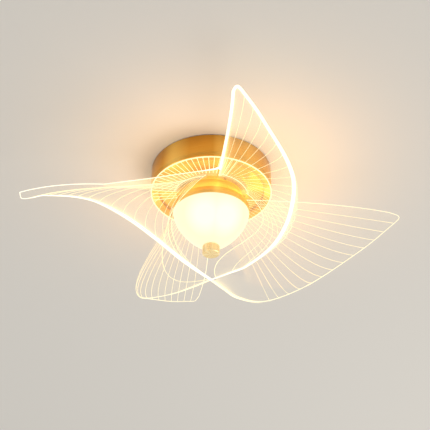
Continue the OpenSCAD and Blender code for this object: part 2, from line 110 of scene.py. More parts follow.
class Nodes:
    """Short ways to add and join the nodes of one node tree."""

    def __init__(self, tree: bpy.types.NodeTree) -> None:
        """Keeps the tree and empties it."""
        self.tree = tree
        tree.nodes.clear()

    def add(self, kind: str, **settings: object) -> bpy.types.Node:
        """Adds a node.

        Args:
            kind: the node's type name, without its leading ShaderNode.
            settings: properties to set on the node.

        Returns:
            The new node.
        """
        node = self.tree.nodes.new(kind if kind.startswith("Node") else "ShaderNode" + kind)
        for name, value in settings.items():
            setattr(node, name, value)
        return node

    def join(self, start: bpy.types.NodeSocket, end: bpy.types.NodeSocket) -> None:
        """Links an output to an input."""
        self.tree.links.new(start, end)

    def fill(self, end: bpy.types.NodeSocket, value: object) -> None:
        """Sets an input to a number, or links an output to it."""
        if isinstance(value, (int, float)):
            end.default_value = value
        else:
            self.join(value, end)

    def math(self, operation: str, *values: object) -> bpy.types.NodeSocket:
        """Adds a Math node.

        Args:
            operation: the node's operation.
            values: numbers or sockets, in the order of the inputs.

        Returns:
            The result's socket.
        """
        node = self.add("Math", operation=operation)
        for end, value in zip(node.inputs, values):
            self.fill(end, value)
        return node.outputs[0]

    def noise(self, vector: bpy.types.NodeSocket, scale: object, detail: float) -> bpy.types.NodeSocket:
        """Adds a Noise Texture node.

        Args:
            vector: the socket that says where the noise is read.
            scale: its scale, a number or a socket.
            detail: how many finer layers it has.

        Returns:
            The noise's socket.
        """
        node = self.add("TexNoise")
        self.fill(node.inputs["Scale"], scale)
        node.inputs["Detail"].default_value = detail
        self.join(vector, node.inputs["Vector"])
        return node.outputs[0]

    def group(self, tree: bpy.types.NodeTree, values: dict[str, float]) -> bpy.types.Node:
        """Places a node group with its own values.

        Args:
            tree: the node group.
            values: number for each named input.

        Returns:
            The node that holds the group.
        """
        node = self.add("Group", node_tree=tree)
        for name, value in values.items():
            node.inputs[name].default_value = value
        return node

    def scaled(self, factor: object, low: float, high: float) -> bpy.types.NodeSocket:
        """Maps a factor from 0 to 1 onto the span from low to high, without going past it.

        Args:
            factor: the socket to map.
            low: the value at 0.
            high: the value at 1.

        Returns:
            The mapped socket.
        """
        node = self.add("MapRange", clamp=True)
        self.join(factor, node.inputs["Value"])
        node.inputs["To Min"].default_value = low
        node.inputs["To Max"].default_value = high
        return node.outputs["Result"]

    def mixed(self, factor: object, first: Colour, second: Colour) -> bpy.types.NodeSocket:
        """Blends two colours.

        Args:
            factor: the socket that blends, 0 for the first and 1 for the second.
            first: linear colour at 0.
            second: linear colour at 1.

        Returns:
            The blended colour's socket.
        """
        node = self.add("Mix", data_type="RGBA", clamp_factor=True)
        self.join(factor, node.inputs[0])
        node.inputs[MIX_FIRST].default_value = (*first, 1)
        node.inputs[MIX_SECOND].default_value = (*second, 1)
        return node.outputs[MIX_RESULT]

    def bump(self, height: bpy.types.NodeSocket, strength: float, distance: float) -> bpy.types.NodeSocket:
        """Adds a Bump node.

        Args:
            height: the height's socket.
            strength: the bump's strength.
            distance: the height's size in metres.

        Returns:
            The normal's socket.
        """
        node = self.add("Bump")
        node.inputs["Strength"].default_value = strength
        node.inputs["Distance"].default_value = distance
        self.join(height, node.inputs["Height"])
        return node.outputs["Normal"]


def group_sockets(group: bpy.types.NodeTree, inputs: Sequence[str], outputs: Sequence[str]) -> None:
    """Gives a node group its named sockets, which all carry numbers.

    Args:
        group: the node group.
        inputs: name of each number that goes in.
        outputs: name of each number that comes out.
    """
    for direction, names in (("INPUT", inputs), ("OUTPUT", outputs)):
        for name in names:
            group.interface.new_socket(name=name, in_out=direction, socket_type="NodeSocketFloat")


# The patterns of turned metal: brush lines, soft clouds, and painted highlight bands, bright and dark at set
# bearings round the axis, that stand in for the light the metal reflects.
LINE_DETAIL = 3.0
CLOUD_SCALE = 28.0
CLOUD_DETAIL = 4.0
HIGHLIGHT_BAND_SCALE = 1.9
HIGHLIGHT_BAND_DETAIL = 1.0
HIGHLIGHT_BAND_COUNT = 6.0
HIGHLIGHT_BAND_PHASE = 1.885
HIGHLIGHT_BAND_WAVE = 0.14


def turned_brush_group() -> bpy.types.NodeTree:
    """Fine lines that run round the lamp's axis, as a brush leaves them on turned or spun metal.

    Returns:
        The node group, with the outputs Lines, Cloud and Painted Highlights, the last being painted highlight
        and shade bands round the axis.
    """
    group = bpy.data.node_groups.new("turned_brush", "ShaderNodeTree")
    group_sockets(group, ["Fineness", "Length"], ["Lines", "Cloud", "Painted Highlights"])
    nodes = Nodes(group)
    source = nodes.add("TexCoord")
    given = nodes.add("NodeGroupInput")
    result = nodes.add("NodeGroupOutput")
    place = nodes.add("SeparateXYZ")
    nodes.join(source.outputs["Object"], place.inputs[0])
    flat = nodes.add("CombineXYZ")
    nodes.join(place.outputs["X"], flat.inputs["X"])
    nodes.join(place.outputs["Y"], flat.inputs["Y"])
    radius = nodes.add("VectorMath", operation="LENGTH")
    nodes.join(flat.outputs[0], radius.inputs[0])
    bearing = nodes.add("VectorMath", operation="NORMALIZE")
    nodes.join(flat.outputs[0], bearing.inputs[0])
    round_part = nodes.add("VectorMath", operation="SCALE")
    nodes.join(bearing.outputs[0], round_part.inputs[0])
    nodes.join(given.outputs["Length"], round_part.inputs["Scale"])
    across = nodes.math("ADD", radius.outputs["Value"], place.outputs["Z"])
    step = nodes.add("CombineXYZ")
    nodes.join(nodes.math("MULTIPLY", across, given.outputs["Fineness"]), step.inputs["Z"])
    total = nodes.add("VectorMath", operation="ADD")
    nodes.join(round_part.outputs[0], total.inputs[0])
    nodes.join(step.outputs[0], total.inputs[1])
    lines = nodes.noise(total.outputs[0], 1.0, LINE_DETAIL)
    cloud = nodes.noise(source.outputs["Object"], CLOUD_SCALE, CLOUD_DETAIL)
    highlight_bands = nodes.noise(bearing.outputs[0], HIGHLIGHT_BAND_SCALE, HIGHLIGHT_BAND_DETAIL)
    # Painted highlights: a wave of bright and dark bands at set bearings round the axis, with a soft noise
    # along it, for the light that the brass reflects.
    angle = nodes.math("ARCTAN2", place.outputs["Y"], place.outputs["X"])
    wave = nodes.math("SINE", nodes.math("MULTIPLY_ADD", angle, HIGHLIGHT_BAND_COUNT, HIGHLIGHT_BAND_PHASE))
    nodes.join(nodes.math("MULTIPLY_ADD", wave, HIGHLIGHT_BAND_WAVE, highlight_bands), result.inputs["Painted Highlights"])
    nodes.join(lines, result.inputs["Lines"])
    nodes.join(cloud, result.inputs["Cloud"])
    return group


GRAIN_DETAIL = 2.0


def fine_grain_group() -> bpy.types.NodeTree:
    """Fine even grain with larger soft patches, for moulded, glazed and plated surfaces.

    Returns:
        The node group, with the outputs Grain and Patches.
    """
    group = bpy.data.node_groups.new("fine_grain", "ShaderNodeTree")
    group_sockets(group, ["Grain Scale", "Patch Scale"], ["Grain", "Patches"])
    nodes = Nodes(group)
    source = nodes.add("TexCoord")
    given = nodes.add("NodeGroupInput")
    result = nodes.add("NodeGroupOutput")
    for output, scale in (("Grain", "Grain Scale"), ("Patches", "Patch Scale")):
        noise = nodes.noise(source.outputs["Object"], given.outputs[scale], GRAIN_DETAIL)
        nodes.join(noise, result.inputs[output])
    return group


class Effects:
    """The node groups that several finishes share, each built once."""

    def __init__(self) -> None:
        """Builds the groups."""
        self.turned_brush = turned_brush_group()
        self.fine_grain = fine_grain_group()


def started(name: str) -> tuple[bpy.types.Material, Nodes, bpy.types.Node]:
    """Starts a material with one main shader joined to its output.

    Args:
        name: the material's name.

    Returns:
        The material, its node helper and its main shader.
    """
    material = bpy.data.materials.new(name)
    material.use_nodes = True
    nodes = Nodes(material.node_tree)
    shader = nodes.add("BsdfPrincipled")
    end = nodes.add("OutputMaterial")
    nodes.join(shader.outputs[0], end.inputs["Surface"])
    return material, nodes, shader


@dataclass(frozen=True)
class TurnedMetal:
    """Metal brushed or polished while it turns round the lamp's axis.

    Its glow is painted light: an emission that stands in for the light that the petals and the cup throw on
    it.
    """

    name: str
    colour: Colour
    # dark is the colour at the shaded end of the painted highlight bands and of the brush lines and clouds.
    dark: Colour
    roughness: float
    roughness_span: float
    brush: float
    glow: float = 0.0
    fineness: float = 2600.0
    line_length: float = 3.0
    line_depth: float = 0.00012
    cloud_share: float = 0.1
    line_share: float = 0.3
    # The band fields set how strongly the painted highlight bands lighten and shade the colour.
    band_share: float = 0.7
    highlight_band_gain: float = 3.0
    highlight_band_shift: float = -1.25

    def material(self, effects: Effects) -> bpy.types.Material:
        """Makes the material.

        Args:
            effects: the shared node groups.

        Returns:
            The material.
        """
        material, nodes, shader = started(self.name)
        brush = nodes.group(effects.turned_brush, {"Fineness": self.fineness, "Length": self.line_length})
        cloud = nodes.math("MULTIPLY", brush.outputs["Cloud"], self.cloud_share)
        fine = nodes.math("MULTIPLY_ADD", brush.outputs["Lines"], self.line_share, cloud)
        # The painted highlight bands lighten and darken the colour round the axis, as reflected light would.
        highlight_bands = nodes.math("MULTIPLY_ADD", brush.outputs["Painted Highlights"], self.highlight_band_gain, self.highlight_band_shift)
        shade = nodes.math("MULTIPLY_ADD", nodes.scaled(highlight_bands, 0, 1), self.band_share, fine)
        colour = nodes.mixed(nodes.scaled(shade, 0, 1), self.dark, self.colour)
        nodes.join(colour, shader.inputs["Base Color"])
        low = self.roughness - self.roughness_span / 2
        nodes.join(nodes.scaled(shade, low, low + self.roughness_span), shader.inputs["Roughness"])
        normal = nodes.bump(brush.outputs["Lines"], self.brush, self.line_depth)
        nodes.join(normal, shader.inputs["Normal"])
        shader.inputs["Metallic"].default_value = 1.0
        # Painted light: the metal glows weakly in its own colour for the light of the petals and the cup
        # falling on it.
        shader.inputs["Emission Color"].default_value = (*self.colour, 1)
        shader.inputs["Emission Strength"].default_value = self.glow
        return material


@dataclass(frozen=True)
class GrainedSurface:
    """Plastic, rubber, ceramic or plated steel with a fine grain and slight patches."""

    name: str
    colour: Colour
    roughness: float
    metallic: float = 0.0
    coat: float = 0.0
    grain_scale: float = 1500.0
    grain: float = 0.15
    grain_depth: float = 0.0001
    patch_scale: float = 60.0
    patch_share: float = 0.88
    roughness_play: float = 0.15

    def material(self, effects: Effects) -> bpy.types.Material:
        """Makes the material.

        Args:
            effects: the shared node groups.

        Returns:
            The material.
        """
        material, nodes, shader = started(self.name)
        scales = {"Grain Scale": self.grain_scale, "Patch Scale": self.patch_scale}
        grain = nodes.group(effects.fine_grain, scales)
        patches = grain.outputs["Patches"]
        colour = nodes.mixed(patches, dimmed(self.colour, self.patch_share), self.colour)
        nodes.join(colour, shader.inputs["Base Color"])
        low = self.roughness * (1 - self.roughness_play)
        high = self.roughness * (1 + self.roughness_play)
        nodes.join(nodes.scaled(patches, low, high), shader.inputs["Roughness"])
        normal = nodes.bump(grain.outputs["Grain"], self.grain, self.grain_depth)
        nodes.join(normal, shader.inputs["Normal"])
        shader.inputs["Metallic"].default_value = self.metallic
        shader.inputs["Coat Weight"].default_value = self.coat
        return material


# Name of the mesh attribute that says how strongly a clear sheet glows at a place.
SHEET_GLOW = "sheet_glow"


@dataclass(frozen=True)
class EdgeLitAcrylic:
    """Clear acrylic that carries light: nearly invisible, and glowing where its mesh says so."""

    name: str
    glow: Colour
    haze: float = 0.018
    haze_play: float = 0.4
    edge_gain: float = 0.75
    strength: float = 0.9
    patch_share: float = 0.9
    roughness: float = 0.12
    grain_scale: float = 400.0
    grain: float = 0.05
    grain_depth: float = 0.0001
    patch_scale: float = 22.0

    def material(self, effects: Effects) -> bpy.types.Material:
        """Makes the material.

        Args:
            effects: the shared node groups.

        Returns:
            The material.
        """
        material, nodes, shader = started(self.name)
        place = nodes.add("Attribute", attribute_name=SHEET_GLOW)
        scales = {"Grain Scale": self.grain_scale, "Patch Scale": self.patch_scale}
        grain = nodes.group(effects.fine_grain, scales)
        patches = grain.outputs["Patches"]
        haze = nodes.scaled(patches, self.haze * (1 - self.haze_play), self.haze * (1 + self.haze_play))
        cover = nodes.math("MULTIPLY_ADD", place.outputs["Fac"], self.edge_gain, haze)
        nodes.join(cover, shader.inputs["Alpha"])
        glow = nodes.mixed(patches, self.glow, dimmed(self.glow, self.patch_share))
        nodes.join(glow, shader.inputs["Emission Color"])
        normal = nodes.bump(grain.outputs["Grain"], self.grain, self.grain_depth)
        nodes.join(normal, shader.inputs["Normal"])
        shader.inputs["Base Color"].default_value = (*self.glow, 1)
        shader.inputs["Emission Strength"].default_value = self.strength
        shader.inputs["Roughness"].default_value = self.roughness
        return material


@dataclass(frozen=True)
class GlowingLine:
    """An engraved line or a cut edge that sends out the light carried in the acrylic."""

    name: str
    colour: Colour
    hot: Colour
    strength: float = 1.0
    base_share: float = 0.4
    roughness: float = 0.4
    patch_scale: float = 35.0

    def material(self, effects: Effects) -> bpy.types.Material:
        """Makes the material.

        Args:
            effects: the shared node groups.

        Returns:
            The material.
        """
        material, nodes, shader = started(self.name)
        grain = nodes.group(effects.fine_grain, {"Patch Scale": self.patch_scale})
        glow = nodes.mixed(grain.outputs["Patches"], self.colour, self.hot)
        nodes.join(glow, shader.inputs["Emission Color"])
        shader.inputs["Base Color"].default_value = (*dimmed(self.colour, self.base_share), 1)
        shader.inputs["Roughness"].default_value = self.roughness
        shader.inputs["Emission Strength"].default_value = self.strength
        return material


# Where the two lamps shine through the glass strongest, in metres and degrees.
HOT_HEIGHT = -0.094
HOT_R = 0.0385
HOT_BEARING = -81.0
HOT_SPREAD = 21.0


def hot_spots() -> list[Vector]:
    """Places on the glass, in metres, where the two lamps shine through strongest, in front and behind."""
    return [polar(HOT_R, HOT_BEARING + turn + side * HOT_SPREAD, HOT_HEIGHT)
            for turn in (0, 180) for side in (-1, 1)]


@dataclass(frozen=True)
class FrostedGlass:
    """Opal glass lit from inside: brightest where the lamps behind it are nearest."""

    name: str
    side: Colour
    middle: Colour
    reach: float = 0.03
    reach_gain: float = 1.6
    base_share: float = 0.06
    low_roughness: float = 0.4
    high_roughness: float = 0.55
    specular: float = 0.15
    strength: float = 1.0
    grain_scale: float = 2500.0
    grain: float = 0.1
    grain_depth: float = 0.00005
    patch_scale: float = 40.0

    def material(self, effects: Effects) -> bpy.types.Material:
        """Makes the material.

        Args:
            effects: the shared node groups.

        Returns:
            The material.
        """
        material, nodes, shader = started(self.name)
        source = nodes.add("TexCoord")
        near = None
        for spot in hot_spots():
            gap = nodes.add("VectorMath", operation="DISTANCE")
            nodes.join(source.outputs["Object"], gap.inputs[0])
            gap.inputs[1].default_value = spot
            one = nodes.math("SUBTRACT", 1.0, nodes.math("DIVIDE", gap.outputs["Value"], self.reach))
            near = one if near is None else nodes.math("MAXIMUM", near, one)
        share = nodes.scaled(nodes.math("MULTIPLY", near, self.reach_gain), 0, 1)
        nodes.join(nodes.mixed(share, self.side, self.middle), shader.inputs["Emission Color"])
        scales = {"Grain Scale": self.grain_scale, "Patch Scale": self.patch_scale}
        grain = nodes.group(effects.fine_grain, scales)
        normal = nodes.bump(grain.outputs["Grain"], self.grain, self.grain_depth)
        nodes.join(normal, shader.inputs["Normal"])
        roughness = nodes.scaled(grain.outputs["Patches"], self.low_roughness, self.high_roughness)
        nodes.join(roughness, shader.inputs["Roughness"])
        shader.inputs["Base Color"].default_value = (*dimmed(self.side, self.base_share), 1)
        shader.inputs["Specular IOR Level"].default_value = self.specular
        shader.inputs["Emission Strength"].default_value = self.strength
        return material


# Mesh helpers

# Edges that turn by more degrees than this are sharp, and corners nearer than the merge distance are one.
SHARP_ANGLE = 38.0
MERGE_DISTANCE = 0.00001
BEVEL_SEGMENTS = 2


def finished(name: str, bm: bmesh.types.BMesh, material: bpy.types.Material) -> bpy.types.Object:
    """Turns a bmesh in millimetres into a piece in metres, smooth with its sharp edges kept.

    Args:
        name: the piece's name.
        bm: the mesh, which is freed.
        material: the piece's finish.

    Returns:
        The new object, at the origin.
    """
    bmesh.ops.transform(bm, matrix=Matrix.Scale(MM, 4), verts=bm.verts)
    mesh = bpy.data.meshes.new(name)
    bm.to_mesh(mesh)
    bm.free()
    mesh.materials.append(material)
    mesh.shade_smooth()
    mesh.set_sharp_from_angle(angle=math.radians(SHARP_ANGLE))
    piece = bpy.data.objects.new(name, mesh)
    bpy.context.scene.collection.objects.link(piece)
    return piece


def recalculated(bm: bmesh.types.BMesh) -> None:
    """Merges what lies on one spot and points every face outward."""
    bmesh.ops.remove_doubles(bm, verts=bm.verts, dist=MERGE_DISTANCE)
    bmesh.ops.recalc_face_normals(bm, faces=bm.faces)


def turned(profile: Profile, steps: int = 160) -> bmesh.types.BMesh:
    """Spins a closed profile round the lamp's axis.

    Args:
        profile: radius and height of each corner, in order round the closed outline.
        steps: number of steps of the full turn.

    Returns:
        The closed turned mesh.
    """
    bm = bmesh.new()
    corners = [bm.verts.new((r, 0, z)) for r, z in profile]
    edges = [bm.edges.new((a, b)) for a, b in zip(corners, corners[1:] + corners[:1])
             if a.co.x > 0 or b.co.x > 0]
    bmesh.ops.spin(bm, geom=corners + edges, cent=(0, 0, 0), axis=(0, 0, 1), angle=2 * math.pi,
                   steps=steps, use_merge=True)
    recalculated(bm)
    return bm


def rounded(bm: bmesh.types.BMesh, width: float) -> None:
    """Bevels the sharp edges of a mesh.

    Args:
        bm: the mesh.
        width: the bevel's width.
    """
    limit = math.radians(SHARP_ANGLE)
    sharp = [e for e in bm.edges if len(e.link_faces) == 2 and e.calc_face_angle(0) > limit]
    bmesh.ops.bevel(bm, geom=sharp, offset=width, affect="EDGES", segments=BEVEL_SEGMENTS, profile=0.5,
                    material=-1, clamp_overlap=True)


def tube(bm: bmesh.types.BMesh, path: Sequence[Vector], radius: Callable[[float], float],
         sides: int = 8) -> None:
    """Adds a round bar along a path, closed at both ends.

    Args:
        bm: the mesh that gets the bar.
        path: points of its centre line.
        radius: the bar's radius as a function of the share of the path, from 0 to 1.
        sides: number of faces round it.
    """
    last = len(path) - 1
    loops = []
    side = None
    for i, point in enumerate(path):
        ahead = (path[min(i + 1, last)] - path[max(i - 1, 0)]).normalized()
        if side is None:
            side = ahead.orthogonal()
        side = (side - ahead * side.dot(ahead)).normalized()
        turn = Matrix((side, ahead.cross(side), ahead)).transposed().to_4x4()
        ring = bmesh.ops.create_circle(bm, segments=sides, radius=radius(i / last),
                                       matrix=Matrix.Translation(point) @ turn)["verts"]
        loops.append(ring)
    for a, b in zip(loops, loops[1:]):
        for k in range(sides):
            bm.faces.new((a[k], a[(k + 1) % sides], b[(k + 1) % sides], b[k]))
    bm.faces.new(tuple(reversed(loops[0])))
    bm.faces.new(tuple(loops[-1]))


def shares(steps: int) -> list[float]:
    """Shares from 0 to 1 in equal steps."""
    return [i / steps for i in range(steps + 1)]


def ring_path(radius: float, height: float, steps: int, start: float = 0, end: float = 360) -> list[Vector]:
    """Points on an arc round the lamp's axis, from one bearing to another.

    Args:
        radius: the arc's radius.
        height: its height.
        steps: number of steps along it.
        start: its first bearing, in degrees.
        end: its last bearing, in degrees.

    Returns:
        The points, one more than the steps.
    """
    return [polar(radius, start + (end - start) * t, height) for t in shares(steps)]


def along(spots: Sequence[Vector], share: float) -> Vector:
    """Point at a share of the length of a line through several spots.

    Args:
        spots: the spots, in order.
        share: the share of the length, from 0 to 1.

    Returns:
        The point.
    """
    gaps = [(b - a).length for a, b in zip(spots, spots[1:])]
    left = share * sum(gaps)
    for a, b, gap in zip(spots, spots[1:], gaps):
        if left <= gap:
            return a.lerp(b, left / gap)
        left -= gap
    return spots[-1]


# Sizes that several sub-assemblies share


@dataclass(frozen=True)
class Stack:
    """Heights and radii of the lamp's main pieces, the same as in the part's source."""

    canopy_r: float = 80.0
    canopy_drop: float = 36.6
    sheet_t: float = 1.2
    lip_w: float = 10.0
    guide_t: float = 2.0
    seat: float = 0.3
    root_t: float = 3.0
    clamp_t: float = 2.0
    light_edge_r: float = 30.0
    neck_top_r: float = 41.4
    neck_bottom_r: float = 46.5
    cup_r: float = 49.5
    cup_depth: float = 52.5
    glass_t: float = 2.6
    gasket_t: float = 1.5
    collar_over: float = 0.4
    collar_drop: float = 68.5
    collar_h: float = 9.3
    rod_r: float = 5.0
    finial_r: float = 11.1
    finial_h: float = 11.0

    @property
    def guide_bottom(self) -> float:
        """Height of the light guide ring's lower face."""
        return -self.canopy_drop

    @property
    def canopy_bottom(self) -> float:
        """Height of the canopy's lower face."""
        return self.guide_bottom + self.guide_t + self.seat

    @property
    def root_top(self) -> float:
        """Height of the upper face of a petal's root."""
        return self.guide_bottom - self.seat

    @property
    def root_mid(self) -> float:
        """Height of the middle of a petal's root."""
        return self.root_top - self.root_t / 2

    @property
    def clamp_bottom(self) -> float:
        """Height of the clamp ring's lower face."""
        return self.root_top - self.root_t - self.seat - self.clamp_t

    @property
    def collar_r(self) -> float:
        """Outside radius of the collar."""
        return self.cup_r + self.collar_over

    @property
    def bowl_top(self) -> float:
        """Height at which the glass bowl begins under the collar."""
        return -self.collar_drop - self.seat

    @property
    def collar_top(self) -> float:
        """Height of the collar's upper face."""
        return -self.collar_drop + self.collar_h

    @property
    def cup_top(self) -> float:
        """Height of the glass cup's upper face."""
        return self.collar_top - self.sheet_t - 2 * self.seat - self.gasket_t


# Petals


@dataclass(frozen=True)
class PetalLook:
    """What sets one petal apart.

    That is its turn round the axis in degrees, the bow of its straight edge, the spots of its tip, how
    thick its two edges glow and from where, how far its lines go, how thick its inner edge glows, and the
    haze at its root.
    """

    turn: float
    bow: float
    tip: Sequence[tuple[float, float, float]]
    straight_r: float
    straight_from: float
    rim_radii: Sequence[tuple[float, float]]
    line_last: float
    inner_edge_r: float
    root_haze: float

    @property
    def matrix(self) -> Matrix:
        """The petal's turn round the lamp's axis."""
        return Matrix.Rotation(math.radians(self.turn), 4, "Z")

    def rim_r(self, u: float) -> float:
        """Radius of the glowing outer edge at a share of its length.

        Args:
            u: the share, from the tip.

        Returns:
            The radius.
        """
        for (u0, r0), (u1, r1) in zip(self.rim_radii, self.rim_radii[1:]):
            if u <= u1:
                return r0 + (r1 - r0) * (u - u0) / (u1 - u0)
        return self.rim_radii[-1][1]


# Spots of the outer edge at each kind of tip: share of the reach, bearing in degrees, share of the drop.
PLAIN_TIP = ((0.947, -85.4, 0.320), (1.001, -84.3, 0.338), (0.966, -81.7, 0.380), (0.848, -73.7, 0.501))
FRONT_TIP = ((0.869, -83.3, 0.320), (0.912, -82.7, 0.335), (0.915, -81.5, 0.370), (0.845, -74.5, 0.500))
LEFT_TIP = ((0.988, -84.8, 0.300), (0.973, -84.6, 0.360), (0.917, -81.8, 0.400), (0.848, -73.5, 0.500))


class PetalPlace(Enum):
    """The four petals."""

    FRONT = PetalLook(
        turn=0,
        bow=24.0,
        tip=FRONT_TIP,
        straight_r=2.0,
        straight_from=0.06,
        rim_radii=((0, 1.8), (0.25, 1.9), (0.45, 2.4), (0.7, 2.1), (0.85, 1.3), (1, 0.8)),
        line_last=0.93,
        inner_edge_r=0.4,
        root_haze=0.08,
    )
    RIGHT = PetalLook(
        turn=90,
        bow=19.0,
        tip=PLAIN_TIP,
        straight_r=0.4,
        straight_from=0,
        rim_radii=((0, 0.4), (0.7, 0.5), (0.8, 1.3), (0.87, 1.7), (1, 1.6)),
        line_last=0.7,
        inner_edge_r=0,
        root_haze=0.06,
    )
    REAR = PetalLook(
        turn=180,
        bow=0.0,
        tip=PLAIN_TIP,
        straight_r=0.4,
        straight_from=0,
        rim_radii=((0, 0.4), (0.8, 0.45), (0.9, 0.8), (1, 0.9)),
        line_last=0.63,
        inner_edge_r=0.3,
        root_haze=0.06,
    )
    LEFT = PetalLook(
        turn=270,
        bow=40.0,
        tip=LEFT_TIP,
        straight_r=0.5,
        straight_from=0.41,
        rim_radii=((0, 0.5), (0.15, 0.5), (0.3, 0.8), (0.45, 1.3), (0.6, 2.2), (0.85, 2.3), (1, 1.6)),
        line_last=0.93,
        inner_edge_r=0.3,
        root_haze=0.08,
    )


@dataclass
class PetalForm:
    """The formed sheet of a petal, by the same formulas as the part's source.

    A line of the sheet runs from an arc round the hub to the outer edge. Along the outer edge u goes from 0
    at the tip to 1 under the finial, and v goes from 0 at the hub to 1 at the outer edge. The last fields say
    how the glow fades from the edges and from the root.
    """

    stack: Stack
    look: PetalLook
    reach: float = 252.0
    drop: float = 166.0
    root_r: float = 46.0
    root_bearing: float = -43.0
    root_half_angle: float = 35.0
    thickness: float = 2.6
    above_share: float = 0.8
    curl_power: float = 6.0
    common_spots: Sequence[tuple[float, float, float]] = (
        (0.677, -57.0, 0.675), (0.545, -47.4, 0.814), (0.397, -40.5, 0.934), (0.210, -37.3, 1.007),
        (0.105, -38.0, 1.013), (0.030, -40.0, 1.012),
    )
    swell: Sequence[Vector] = (Vector((-17, -25, 9)), Vector((45, -45, -22)), Vector((65, -41, -45)),
                               Vector((120, 0, -90)))
    curl_near: Vector = field(default_factory=lambda: Vector((0, -91, -28)))
    curl_far: Vector = field(default_factory=lambda: Vector((-111, -26, 50)))
    normal_step: float = 0.01
    glow_from_r: float = 0.6
    glow_span_r: float = 1.4
    band_share: float = 0.88
    edge_band: float = 2.6
    edge_halo: float = 13.0
    root_halo: float = 16.0

    def __post_init__(self) -> None:
        """Works out the spots of the outer edge and how far along it each lies."""
        self.spots = [polar(share * self.reach, bearing, -depth * self.drop)
                      for share, bearing, depth in (*self.look.tip, *self.common_spots)]
        lengths = [0.0]
        for a, b in zip(self.spots, self.spots[1:]):
            lengths.append(lengths[-1] + (b - a).length)
        self.shares = [length / lengths[-1] for length in lengths]

    @property
    def first_bearing(self) -> float:
        """Bearing of the root's edge at the tip's side."""
        return self.root_bearing - self.root_half_angle

    def slope(self, i: int) -> Vector:
        """Direction of the outer edge at a spot."""
        a, b = max(i - 1, 0), min(i + 1, len(self.spots) - 1)
        return (self.spots[b] - self.spots[a]) / (self.shares[b] - self.shares[a])

    def rim(self, u: float) -> Vector:
        """Point on the outer edge.

        Args:
            u: share of the edge, from the tip.

        Returns:
            The point.
        """
        i = max(k for k in range(len(self.spots) - 1) if k == 0 or self.shares[k] < u)
        span = self.shares[i + 1] - self.shares[i]
        s = (u - self.shares[i]) / span
        rise = 3 * s ** 2 - 2 * s ** 3
        leave = (s ** 3 - 2 * s ** 2 + s) * span
        arrive = (s ** 3 - s ** 2) * span
        return ((1 - rise) * self.spots[i] + leave * self.slope(i)
                + rise * self.spots[i + 1] + arrive * self.slope(i + 1))

    @staticmethod
    def blend(t: float, p: Sequence[Vector]) -> Vector:
        """Smooth blend of four points."""
        r = 1 - t
        return r ** 3 * p[0] + 3 * t * r ** 2 * p[1] + 3 * t ** 2 * r * p[2] + t ** 3 * p[3]

    def start(self, u: float) -> Vector:
        """Point where a line leaves the flat root."""
        height = self.stack.root_mid - (self.above_share - 0.5) * self.thickness
        return polar(self.root_r, self.root_bearing + self.root_half_angle * (2 * u - 1), height)

    def point(self, u: float, v: float) -> Vector:
        """Point of the surface that the sheet's thickness is measured from.

        Args:
            u: share of the outer edge, from the tip.
            v: share of the way from the hub to the outer edge.

        Returns:
            The point.
        """
        start, end = self.start(u), self.rim(u)
        bow = self.look.bow * (1 - u) ** self.curl_power
        middle = (start + end) / 2 + self.blend(u, self.swell) + Vector((bow, 0, 0))
        late = u ** self.curl_power
        return self.blend(v, [start, (start + 2 * middle) / 3 + late * self.curl_near,
                              (2 * middle + end) / 3 + late * self.curl_far, end])

    def normal(self, u: float, v: float) -> Vector:
        """Direction square to the sheet, toward its lower side.

        Args:
            u: share of the outer edge, from the tip.
            v: share of the way from the hub to the outer edge.

        Returns:
            The direction, of length 1.
        """
        e = self.normal_step
        across = self.point(min(u + e, 1), v) - self.point(max(u - e, 0), v)
        outward = self.point(u, min(v + e, 1)) - self.point(u, max(v - e, 0))
        return across.cross(outward).normalized()

    def middle(self, u: float, v: float) -> Vector:
        """Point in the middle of the sheet's thickness."""
        return self.point(u, v) - self.normal(u, v) * self.thickness * (self.above_share - 0.5)

    def glow(self, u: float, v: float) -> float:
        """How strongly the sheet glows at a place, from its edges and its root.

        Args:
            u: share of the outer edge, from the tip.
            v: share of the way from the hub to the outer edge.

        Returns:
            The glow, from 0 to 1.
        """
        here = self.point(u, v)
        rim_gap = (self.point(u, 1) - here).length
        straight_gap = (self.point(0, v) - here).length
        root_gap = (self.start(u) - here).length
        near = 0.0
        for gap, radius in ((rim_gap, self.look.rim_r(u)), (straight_gap, self.look.straight_r)):
            weight = min(max((radius - self.glow_from_r) / self.glow_span_r, 0), 1)
            band = self.band_share * math.exp(-gap / self.edge_band)
            halo = (1 - self.band_share) * math.exp(-gap / self.edge_halo)
            near = max(near, weight * (band + halo))
        return min(near + self.look.root_haze * math.exp(-root_gap / self.root_halo), 1)


